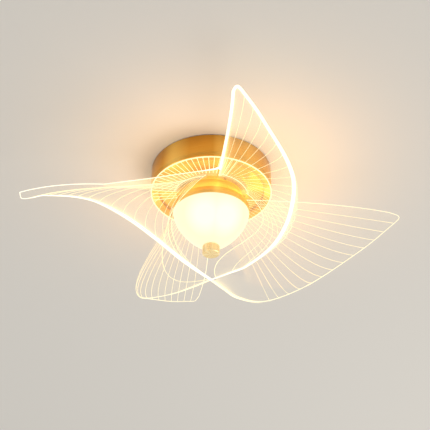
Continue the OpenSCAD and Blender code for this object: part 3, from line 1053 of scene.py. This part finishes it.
@dataclass
class Petals:
    """Four clear petals with their glowing edges and engraved lines."""

    stack: Stack
    sheet_u: int = 110
    sheet_v: int = 56
    crowding: float = 1.5
    straight_steps: int = 60
    rim_steps: int = 160
    cross_steps: int = 48
    thin_r: float = 0.4
    line_first: float = 0.075
    line_pitch: float = 0.05
    line_start: float = 0.012
    line_span: float = 0.98
    line_r: float = 0.3
    line_taper: float = 0.45
    line_steps: int = 36
    line_sides: int = 5
    root_out: float = 0.6
    plate_steps: int = 32
    root_rows: int = 4
    gusset_rows: int = 6
    gusset_arc_steps: int = 24
    gusset_spots: Sequence[tuple[float, float]] = (
        (-140, -25.5), (-105, -32.6), (-72, -39.5), (-40, -47.5), (2, -57), (7.2, -58.6), (9.6, -61),
    )
    gusset_inset: float = 2.0
    gusset_end_bearing: float = -80.0
    gusset_back: tuple[float, float] = (-140, -21)
    gusset_t: float = 2.4
    gusset_glow: float = 0.12
    fillet_r: float = 1.5
    fillet_share: float = 0.8

    def sheet(self, place: PetalPlace, material: bpy.types.Material) -> bpy.types.Object:
        """Builds the clear sheet of one petal with its flat root.

        The lower face starts as a copy of the upper one, and each of its corners finds its way by its place.

        Args:
            place: which petal it is.
            material: the clear finish.

        Returns:
            The sheet.
        """
        form = PetalForm(self.stack, place.value)
        bm = bmesh.new()
        bmesh.ops.create_grid(bm, x_segments=self.sheet_u, y_segments=self.sheet_v, size=0.5)
        where = bm.verts.layers.float.new(SHEET_GLOW)
        ways = {}
        for vert in bm.verts:
            u, v = vert.co.x + 0.5, 1 - (0.5 - vert.co.y) ** self.crowding
            way = form.normal(u, v) * form.thickness
            vert[where] = form.glow(u, v)
            vert.co = form.point(u, v) - way * form.above_share
            ways[vert.co.copy().freeze()] = way
        lower = bmesh.ops.extrude_face_region(bm, geom=bm.faces[:])["geom"]
        for vert in (v for v in lower if isinstance(v, bmesh.types.BMVert)):
            vert.co += ways[vert.co.copy().freeze()]
        bmesh.ops.recalc_face_normals(bm, faces=bm.faces)
        self.add_root(bm, form, where)
        bmesh.ops.transform(bm, matrix=place.value.matrix, verts=bm.verts)
        if place is PetalPlace.LEFT:
            self.add_gusset(bm, form, where)
        piece = finished(f"petal_{place.name.lower()}_sheet", bm, material)
        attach(piece, "base")
        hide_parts(f"petal_{place.name.lower()}")
        return piece

    def add_root(self, bm: bmesh.types.BMesh, form: PetalForm, where: bmesh.types.BMLayerItem) -> None:
        """Adds the flat root that is clamped under the canopy.

        Args:
            bm: the petal's mesh.
            form: the petal's form.
            where: the layer that holds the glow.
        """
        inner, outer = form.stack.light_edge_r, form.root_r + self.root_out
        plate = bmesh.ops.create_grid(bm, x_segments=self.plate_steps, y_segments=self.root_rows, size=0.5)
        for vert in plate["verts"]:
            bearing = form.first_bearing + 2 * form.root_half_angle * (vert.co.x + 0.5)
            radius = inner + (outer - inner) * (vert.co.y + 0.5)
            vert[where] = form.look.root_haze * math.exp((radius - form.root_r) / form.root_halo)
            vert.co = polar(radius, bearing, form.stack.root_top)
        self.thicken_plate(bm, plate["verts"], form.stack.root_t)

    def add_gusset(self, bm: bmesh.types.BMesh, form: PetalForm, where: bmesh.types.BMLayerItem) -> None:
        """Adds the flat gusset that fills the notch between the left petal and the front one.

        Args:
            bm: the petal's mesh, already turned to its place.
            form: the petal's form.
            where: the layer that holds the glow.
        """
        plate = bmesh.ops.create_grid(bm, x_segments=self.plate_steps, y_segments=self.gusset_rows, size=0.5)
        inner_r = form.root_r - self.root_out
        back = form.first_bearing + form.look.turn - 360 + self.gusset_inset
        height = form.stack.root_mid + self.gusset_t / 2
        outer = [Vector((x, y, height)) for x, y in self.gusset_spots]
        inner = [Vector((*self.gusset_back, height))]
        inner += ring_path(inner_r, height, self.gusset_arc_steps, back, self.gusset_end_bearing)
        for vert in plate["verts"]:
            s, t = vert.co.x + 0.5, vert.co.y + 0.5
            vert[where] = self.gusset_glow
            vert.co = along(inner, s).lerp(along(outer, s), t)
        self.thicken_plate(bm, plate["verts"], self.gusset_t)

    @staticmethod
    def thicken_plate(bm: bmesh.types.BMesh, verts: Sequence[bmesh.types.BMVert], thickness: float) -> None:
        """Gives a level plate its thickness, downward.

        Args:
            bm: the petal's mesh.
            verts: the plate's corners.
            thickness: how thick it gets.
        """
        faces = list({f for v in verts for f in v.link_faces})
        bmesh.ops.recalc_face_normals(bm, faces=faces)
        if sum(f.normal.z for f in faces) < 0:
            bmesh.ops.reverse_faces(bm, faces=faces)
        bmesh.ops.solidify(bm, geom=faces, thickness=thickness)

    def edges(self, place: PetalPlace, material: bpy.types.Material) -> bpy.types.Object:
        """Builds the straight and the outer edge of one petal, which glow most.

        Args:
            place: which petal it is.
            material: the glowing finish.

        Returns:
            The edges, as one piece.
        """
        look = place.value
        form = PetalForm(self.stack, look)
        bm = bmesh.new()
        span = 1 - look.straight_from
        straight = [form.middle(0, look.straight_from + span * t) for t in shares(self.straight_steps)]
        rim = [form.middle(t, 1) for t in shares(self.rim_steps)]
        rim.append(Vector((0, 0, rim[-1].z)))
        growth = look.rim_r(0) - look.straight_r
        tube(bm, straight, lambda t: look.straight_r + growth * t)
        tube(bm, rim, look.rim_r)
        bmesh.ops.transform(bm, matrix=look.matrix, verts=bm.verts)
        return self.ridden(f"petal_{place.name.lower()}_edges", bm, material)

    def lines(self, place: PetalPlace, material: bpy.types.Material) -> bpy.types.Object:
        """Builds the engraved lines of one petal, with its fainter inner edge and the line at its root.

        Args:
            place: which petal it is.
            material: the glowing finish.

        Returns:
            The lines, as one piece.
        """
        look = place.value
        form = PetalForm(self.stack, look)
        bm = bmesh.new()
        count = int((look.line_last - self.line_first) / self.line_pitch) + 1
        for k in range(count):
            u = self.line_first + self.line_pitch * k
            path = [form.middle(u, self.line_start + self.line_span * t) for t in shares(self.line_steps)]
            tube(bm, path, lambda t: self.line_r * (self.line_taper + (1 - self.line_taper) * t),
                 sides=self.line_sides)
        if look.inner_edge_r > 0:
            tube(bm, [form.middle(1, t) for t in shares(self.cross_steps)], lambda t: look.inner_edge_r)
        tube(bm, [form.middle(t, self.line_start) for t in shares(self.cross_steps)], lambda t: self.thin_r)
        bmesh.ops.transform(bm, matrix=look.matrix, verts=bm.verts)
        return self.ridden(f"petal_{place.name.lower()}_lines", bm, material)

    def gusset_edge(self, material: bpy.types.Material) -> bpy.types.Object:
        """Builds the pale edge of the left petal's gusset, which swells where it meets the front petal.

        Args:
            material: the glowing finish.

        Returns:
            The edge.
        """
        bm = bmesh.new()
        height = self.stack.root_mid
        front = PetalPlace.FRONT.value
        corner = PetalForm(self.stack, front).middle(0, front.straight_from)
        spots = [Vector((x, y, height)) for x, y in self.gusset_spots] + [corner]
        path = [along(spots, t) for t in shares(self.straight_steps)]
        swell = self.fillet_r - self.thin_r
        rest = 1 - self.fillet_share
        tube(bm, path, lambda t: self.thin_r + swell * max(0, (t - self.fillet_share) / rest))
        return self.ridden("petal_left_gusset_edge", bm, material)

    @staticmethod
    def ridden(name: str, bm: bmesh.types.BMesh, material: bpy.types.Material) -> bpy.types.Object:
        """Finishes a glowing piece and lets it ride on the base.

        Args:
            name: the piece's name.
            bm: its mesh, which is freed.
            material: its finish.

        Returns:
            The new piece.
        """
        recalculated(bm)
        piece = finished(name, bm, material)
        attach(piece, "base")
        return piece


# Brass pieces


@dataclass
class BrassBody:
    """The turned brass pieces that stay still: canopy, underside, neck and collar."""

    stack: Stack
    groove_depth: float = 0.5
    groove_w: float = 0.9
    groove_heights: tuple[float, float] = (3.4, 5.8)
    recess_h: float = 2.6
    riser_r: float = 73.0
    spigot_r: float = 7.6
    edge: float = 0.35
    fine_edge: float = 0.175

    def canopy(self, material: bpy.types.Material) -> bpy.types.Object:
        """Builds the drum against the ceiling, with its two grooves and its lip.

        Args:
            material: the piece's finish.

        Returns:
            The drum.
        """
        s = self.stack
        wall, lip = s.canopy_r - s.sheet_t, s.canopy_r - s.lip_w
        low, floor = s.canopy_bottom, s.canopy_bottom + s.sheet_t
        profile = [(wall, -s.seat), (s.canopy_r, -s.seat)]
        for height in reversed(self.groove_heights):
            profile.append((s.canopy_r, low + height + self.groove_w / 2))
            profile.append((s.canopy_r - self.groove_depth, low + height))
            profile.append((s.canopy_r, low + height - self.groove_w / 2))
        profile += [(s.canopy_r, low), (lip, low), (lip, floor), (wall, floor)]
        bm = turned(profile)
        rounded(bm, self.fine_edge)
        return self.piece("canopy_drum", bm, material, "canopy", "brushed_brass")

    def underside(self, material: bpy.types.Material) -> bpy.types.Object:
        """Builds the pressed pan above the clear ring.

        Args:
            material: the piece's finish.

        Returns:
            The pan.
        """
        s = self.stack
        rim = s.canopy_bottom + s.sheet_t + s.seat
        floor = rim + self.recess_h
        inner, outer = self.spigot_r + s.seat, s.canopy_r - s.sheet_t - s.seat
        profile = [(inner, floor), (self.riser_r, floor), (self.riser_r, rim), (outer, rim)]
        riser, rim, floor = self.riser_r + s.sheet_t, rim + s.sheet_t, floor + s.sheet_t
        profile += [(outer, rim), (riser, rim), (riser, floor), (inner, floor)]
        return self.piece("underside_pan", turned(profile), material, "underside_plate", "plate_brass")

    def neck(self, material: bpy.types.Material) -> bpy.types.Object:
        """Builds the cone between the petal roots and the collar.

        Args:
            material: the piece's finish.

        Returns:
            The cone.
        """
        s = self.stack
        top, bottom = s.clamp_bottom - s.seat, s.collar_top + s.seat
        profile = [(s.neck_top_r, top), (s.neck_bottom_r, bottom), (s.neck_bottom_r - s.sheet_t, bottom),
                   (s.neck_top_r - s.sheet_t, top)]
        bm = turned(profile)
        rounded(bm, self.edge)
        return self.piece("neck_cone", bm, material, "neck", "plate_brass")

    def collar(self, material: bpy.types.Material) -> bpy.types.Object:
        """Builds the spun cap over the rim of the glass.

        Args:
            material: the piece's finish.

        Returns:
            The cap.
        """
        s = self.stack
        outer, inner, hole = s.collar_r, s.collar_r - s.sheet_t, s.rod_r + s.seat
        top, under, low = s.collar_top, s.collar_top - s.sheet_t, -s.collar_drop
        bm = turned([(hole, top), (outer, top), (outer, low), (inner, low), (inner, under), (hole, under)])
        rounded(bm, self.edge)
        return self.piece("collar_cap", bm, material, "shade_collar", "brushed_brass")

    @staticmethod
    def piece(name: str, bm: bmesh.types.BMesh, material: bpy.types.Material, node: str,
              slot: str) -> bpy.types.Object:
        """Finishes a turned piece that stands for a CAD node and rides on the base.

        Args:
            name: the piece's name.
            bm: its mesh, which is freed.
            material: its finish.
            node: the CAD node that it stands for.
            slot: a material slot's name; not used.

        Returns:
            The new piece.
        """
        made = finished(name, bm, material)
        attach(made, "base")
        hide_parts(node)
        return made


@dataclass
class LightRing:
    """The clear ring under the lip, with its bright edge and the short radial lines that show in front."""

    stack: Stack
    edge_r: float = 0.75
    edge_steps: int = 160
    spokes: int = 24
    spoke_span: tuple[float, float] = (170.0, 295.0)
    spoke_in: float = 46.0
    spoke_gap: float = 2.0
    spoke_r: float = 0.4
    spoke_sides: int = 5

    def glow(self, material: bpy.types.Material) -> bpy.types.Object:
        """Builds the ring's glowing edge and its radial lines.

        Args:
            material: the glowing finish.

        Returns:
            The edge and the lines, as one piece.
        """
        s = self.stack
        height = s.guide_bottom + s.guide_t / 2
        bm = bmesh.new()
        tube(bm, ring_path(s.canopy_r - self.edge_r, height, self.edge_steps), lambda t: self.edge_r)
        first, last = self.spoke_span
        for share in shares(self.spokes - 1):
            bearing = first + (last - first) * share
            path = [polar(radius, bearing, height) for radius in (self.spoke_in, s.canopy_r - self.spoke_gap)]
            tube(bm, path, lambda t: self.spoke_r, sides=self.spoke_sides)
        recalculated(bm)
        piece = finished("light_ring_glow", bm, material)
        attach(piece, "base")
        return piece


@dataclass
class Cup:
    """The frosted glass cup with the finial under it."""

    stack: Stack
    curve_steps: int = 40
    curve_power: float = 1.5
    seat_r: float = 11.5
    washer_t: float = 1.0
    hole_play: float = 0.5
    glass_steps: int = 128
    floor_t: float = 2.6
    thread_gap: float = 0.1
    chamfer: float = 0.5
    edge_r: float = 1.6
    edge_steps: int = 6
    finial_steps: int = 96

    def share(self, radius_share: float) -> float:
        """Share of the depth at which the side has drawn in to a share of the radius, and the other way."""
        return (1 - radius_share ** self.curve_power) ** (1 / self.curve_power)

    @property
    def bottom(self) -> float:
        """Height of the cup's lowest ring."""
        return self.stack.bowl_top - self.stack.cup_depth * self.share(self.seat_r / self.stack.cup_r)

    def curve(self, radius: float, depth: float, end: float) -> list[tuple[float, float]]:
        """Side of the bowl, from the collar down to a share of its depth.

        Args:
            radius: the bowl's radius at the collar.
            depth: its full depth.
            end: the last share.

        Returns:
            Radius and height of each spot.
        """
        spots = [end * t for t in shares(self.curve_steps)]
        return [(radius * self.share(s), self.stack.bowl_top - depth * s) for s in spots]

    def glass(self, material: bpy.types.Material) -> bpy.types.Object:
        """Builds the glass, with the narrower rim that the collar hides.

        Args:
            material: the piece's finish.

        Returns:
            The glass.
        """
        s = self.stack
        end = self.share(self.seat_r / s.cup_r)
        inner_r, inner_depth = s.cup_r - s.glass_t, s.cup_depth - s.glass_t
        inner_end = (s.cup_depth * end - s.glass_t) / inner_depth
        rim_r = s.collar_r - s.sheet_t - s.seat
        hole_r = s.rod_r + s.seat + self.hole_play
        profile = [(inner_r, s.cup_top), (rim_r, s.cup_top), (rim_r, s.bowl_top)]
        profile += self.curve(s.cup_r, s.cup_depth, end)
        profile += [(hole_r, self.bottom), (hole_r, self.bottom + s.glass_t)]
        profile += reversed(self.curve(inner_r, inner_depth, inner_end))
        piece = finished("cup_glass", turned(profile, self.glass_steps), material)
        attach(piece, "shade")
        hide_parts("glass_cup")
        return piece

    def finial(self, material: bpy.types.Material) -> bpy.types.Object:
        """Builds the knob that holds the cup.

        Args:
            material: the piece's finish.

        Returns:
            The knob.
        """
        s = self.stack
        top = self.bottom - 2 * s.seat - self.washer_t
        bottom, r = top - s.finial_h, s.finial_r
        bore_end, bore_r = bottom + self.floor_t, s.rod_r + self.thread_gap
        profile = [(0, bore_end), (bore_r, bore_end), (bore_r, top)]
        profile += [(r - self.chamfer, top), (r, top - self.chamfer)]
        for share in shares(self.edge_steps):
            corner = polar(self.edge_r, -90 * share, 0)
            profile.append((r - self.edge_r + corner.x, bottom + self.edge_r + corner.y))
        profile.append((0, bottom))
        piece = finished("finial_knob", turned(profile, self.finial_steps), material)
        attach(piece, "finial")
        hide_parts("finial")
        return piece


# Room and camera


@dataclass(frozen=True)
class AreaLight:
    """A square light that faces a point, with its places and its side in metres."""

    name: str
    place: tuple[float, float, float]
    aim: tuple[float, float, float]
    energy: float
    colour: Colour
    size: float

    def build(self) -> None:
        """Puts the light into the scene."""
        lamp = bpy.data.lights.new(self.name, "AREA")
        lamp.energy = self.energy
        lamp.color = self.colour
        lamp.size = self.size
        holder = bpy.data.objects.new(self.name, lamp)
        holder.location = self.place
        way = Vector(self.aim) - Vector(self.place)
        holder.rotation_euler = way.to_track_quat("-Z", "Y").to_euler()
        bpy.context.scene.collection.objects.link(holder)


class RoomLight(Enum):
    """The soft light of the room, and the warm one that the lamp itself throws up to the ceiling."""

    SOFT_KEY = AreaLight(
        name="soft_key",
        place=(1.4, 0.9, -2.2),
        aim=(0, 0, -0.05),
        energy=24,
        colour=linear(255, 250, 242),
        size=1.6,
    )
    LAMP_GLOW = AreaLight(
        name="lamp_glow",
        place=(0.02, 0, -0.12),
        aim=(0.02, 0, 0),
        energy=0.4,
        colour=linear(255, 186, 88),
        size=0.24,
    )


@dataclass
class Room:
    """The ceiling, the light on it and the camera under it.

    The ceiling's sizes are in millimetres as the lamp's are, and the camera's place is in metres.
    """

    ceiling_size: float = 12000.0
    ceiling_z: float = 0.6
    paint_colour: Colour = linear(214, 211, 206)
    paint_roughness: float = 0.9
    paint_specular: float = 0.1
    world_colour: Colour = linear(240, 239, 236)
    world_strength: float = 0.79
    camera_at: tuple[float, float, float] = (0.005, -0.962, -0.740)
    camera_up_angle: float = 34.88
    lens: float = 75.27
    sensor_w: float = 36.0
    nearest: float = 0.01
    farthest: float = 50.0

    def ceiling(self) -> None:
        """Builds the painted ceiling, which is seen from below only."""
        bm = bmesh.new()
        bmesh.ops.create_grid(bm, x_segments=1, y_segments=1, size=self.ceiling_size / 2)
        bmesh.ops.reverse_faces(bm, faces=bm.faces)
        bmesh.ops.translate(bm, verts=bm.verts, vec=(0, 0, self.ceiling_z))
        plane = finished("ceiling", bm, self.paint())

    def paint(self) -> bpy.types.Material:
        """Matt ceiling paint that can be looked through from above."""
        material, nodes, shader = started("ceiling_paint")
        shader.inputs["Base Color"].default_value = (*self.paint_colour, 1)
        shader.inputs["Roughness"].default_value = self.paint_roughness
        shader.inputs["Specular IOR Level"].default_value = self.paint_specular
        side = nodes.add("NewGeometry")
        clear = nodes.add("BsdfTransparent")
        mix = nodes.add("MixShader")
        end = next(n for n in nodes.tree.nodes if n.type == "OUTPUT_MATERIAL")
        nodes.join(side.outputs["Backfacing"], mix.inputs[0])
        nodes.join(shader.outputs[0], mix.inputs[1])
        nodes.join(clear.outputs[0], mix.inputs[2])
        nodes.join(mix.outputs[0], end.inputs["Surface"])
        return material

    def world(self) -> None:
        """Sets the even light of the room."""
        world = bpy.data.worlds.new("room")
        world.use_nodes = True
        back = world.node_tree.nodes["Background"]
        back.inputs["Color"].default_value = (*self.world_colour, 1)
        back.inputs["Strength"].default_value = self.world_strength
        bpy.context.scene.world = world

    def camera(self) -> None:
        """Places the camera at the photograph's viewing angle."""
        data = bpy.data.cameras.new("camera")
        data.lens = self.lens
        data.sensor_width = self.sensor_w
        data.clip_start, data.clip_end = self.nearest, self.farthest
        camera = bpy.data.objects.new("camera", data)
        camera.location = self.camera_at
        camera.rotation_euler = (math.radians(90 + self.camera_up_angle), 0, 0)
        bpy.context.scene.collection.objects.link(camera)
        bpy.context.scene.camera = camera

    def build(self) -> None:
        """Builds the ceiling, the world, the lights and the camera."""
        self.ceiling()
        self.world()
        for light in RoomLight:
            light.value.build()
        self.camera()


# Putting it together


class Finish(Enum):
    """Every finish of the lamp."""

    # The glow on the plate, neck, collar and finial brass is painted light, an emission for the lamp's light
    # falling on the metal.
    BRUSHED_BRASS = TurnedMetal("brushed_brass", linear(255, 224, 128), linear(206, 142, 40),
                                roughness=0.34, roughness_span=0.16, brush=0.3)
    PLATE_BRASS = TurnedMetal("plate_brass", linear(255, 216, 108), linear(235, 172, 66),
                              roughness=0.26, roughness_span=0.1, brush=0.16, glow=0.06)
    NECK_BRASS = TurnedMetal("neck_brass", linear(255, 220, 122), linear(250, 194, 90),
                             roughness=0.36, roughness_span=0.1, brush=0.16, glow=0.24)
    COLLAR_BRASS = TurnedMetal("collar_brass", linear(250, 216, 134), linear(236, 186, 96),
                               roughness=0.4, roughness_span=0.1, brush=0.2, glow=0.04)
    # The finial brass is a paler copy of the brass, lit brighter in its colours, painted light for the light
    # that falls on the knob.
    FINIAL_BRASS = TurnedMetal("finial_brass", linear(255, 234, 184), linear(232, 196, 128),
                               roughness=0.3, roughness_span=0.1, brush=0.2, glow=0.24)
    SCREW_BRASS = GrainedSurface("screw_brass", linear(214, 172, 98), roughness=0.35, metallic=1.0)
    BRACKET_STEEL = GrainedSurface("bracket_steel", linear(196, 197, 198), roughness=0.4, metallic=1.0)
    SCREW_STEEL = GrainedSurface("screw_steel", linear(190, 191, 193), roughness=0.32, metallic=1.0)
    ROD_STEEL = GrainedSurface("rod_steel", linear(182, 183, 185), roughness=0.36, metallic=1.0)
    DRIVER_SHELL = GrainedSurface("driver_shell", linear(236, 236, 232), roughness=0.5)
    TERMINAL_PLASTIC = GrainedSurface("terminal_plastic", linear(238, 234, 220), roughness=0.45)
    GROMMET_RUBBER = GrainedSurface("grommet_rubber", linear(36, 36, 38), roughness=0.7)
    HOLDER_CERAMIC = GrainedSurface("holder_ceramic", linear(242, 240, 232), roughness=0.25, coat=0.6)
    SOFT_SILICONE = GrainedSurface("soft_silicone", linear(238, 238, 230), roughness=0.55)
    LED_STRIP = GlowingLine("led_strip", linear(255, 226, 150), linear(255, 244, 205))
    CLEAR_ACRYLIC = EdgeLitAcrylic("clear_acrylic", linear(255, 236, 186))
    CLEAR_RING = EdgeLitAcrylic("clear_ring", linear(255, 222, 150), haze=0.08)
    ENGRAVED_LINE = GlowingLine("engraved_line", linear(255, 238, 180), linear(255, 248, 215))
    PALE_EDGE = GlowingLine("pale_edge", linear(252, 240, 196), linear(255, 248, 214))
    BRIGHT_EDGE = GlowingLine("bright_edge", linear(255, 246, 214), linear(255, 255, 244), strength=1.1)
    LAMP_GLASS = GlowingLine("lamp_glass", linear(255, 250, 230), linear(255, 255, 250), strength=1.5)
    FROSTED_GLASS = FrostedGlass("frosted_glass", linear(254, 248, 210), linear(255, 254, 240))


NODE_FINISH = {
    "ceiling_bracket": Finish.BRACKET_STEEL,
    "cable_grommet": Finish.GROMMET_RUBBER,
    "earth_screw": Finish.SCREW_BRASS,
    "canopy_lock_screws": Finish.SCREW_BRASS,
    "led_driver": Finish.DRIVER_SHELL,
    "terminal_block": Finish.TERMINAL_PLASTIC,
    "base_screws": Finish.SCREW_STEEL,
    "hub": Finish.PLATE_BRASS,
    "led_ring_board": Finish.LED_STRIP,
    "light_guide_ring": Finish.CLEAR_RING,
    "petal_clamp_ring": Finish.NECK_BRASS,
    "petal_screws": Finish.SCREW_BRASS,
    "centre_rod": Finish.ROD_STEEL,
    "rod_nuts": Finish.SCREW_STEEL,
    "rod_washers": Finish.SCREW_STEEL,
    "lampholder_bridge": Finish.BRACKET_STEEL,
    "lampholders": Finish.HOLDER_CERAMIC,
    "lamps": Finish.LAMP_GLASS,
    "cup_gasket": Finish.SOFT_SILICONE,
    "finial_washer": Finish.SOFT_SILICONE,
}


def dress_nodes(nodes: dict[str, bpy.types.Object], materials: dict[Finish, bpy.types.Material]) -> None:
    """Gives the CAD nodes that stay in view their finishes.

    Args:
        nodes: the frame's nodes by name.
        materials: the material of each finish.
    """
    for name, finish in NODE_FINISH.items():
        node = nodes[name]
        for slot in node.material_slots:
            slot.material = materials[finish]
        log.info("dressed %s", name)


def corners(box: tuple[Vector, Vector]) -> list[list[float]]:
    """A box as plain lists of numbers."""
    return [list(corner) for corner in box]


def main() -> None:
    """Builds the lamp's looks, the room and the camera."""
    logging.basicConfig(level=logging.INFO, format="%(name)s: %(message)s")
    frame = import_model()
    bpy.context.scene.view_settings.view_transform = "Standard"
    effects = Effects()
    materials = {finish: finish.value.material(effects) for finish in Finish}
    dress_nodes(frame["nodes"], materials)
    stack = Stack()
    body = BrassBody(stack)
    cup = Cup(stack)
    pieces = [
        body.canopy(materials[Finish.BRUSHED_BRASS]),
        body.underside(materials[Finish.PLATE_BRASS]),
        body.neck(materials[Finish.NECK_BRASS]),
        body.collar(materials[Finish.COLLAR_BRASS]),
        LightRing(stack).glow(materials[Finish.ENGRAVED_LINE]),
        cup.glass(materials[Finish.FROSTED_GLASS]),
        cup.finial(materials[Finish.FINIAL_BRASS]),
    ]
    petals = Petals(stack)
    for place in PetalPlace:
        pieces.append(petals.sheet(place, materials[Finish.CLEAR_ACRYLIC]))
        strong = place in (PetalPlace.FRONT, PetalPlace.LEFT)
        pieces.append(petals.edges(place, materials[Finish.BRIGHT_EDGE if strong else Finish.PALE_EDGE]))
        pieces.append(petals.lines(place, materials[Finish.ENGRAVED_LINE]))
    pieces.append(petals.gusset_edge(materials[Finish.BRIGHT_EDGE]))
    for piece in pieces:
        log.info("built %s with %d faces", piece.name, len(piece.data.polygons))
    Room().build()


if __name__ == "__main__":
    main()
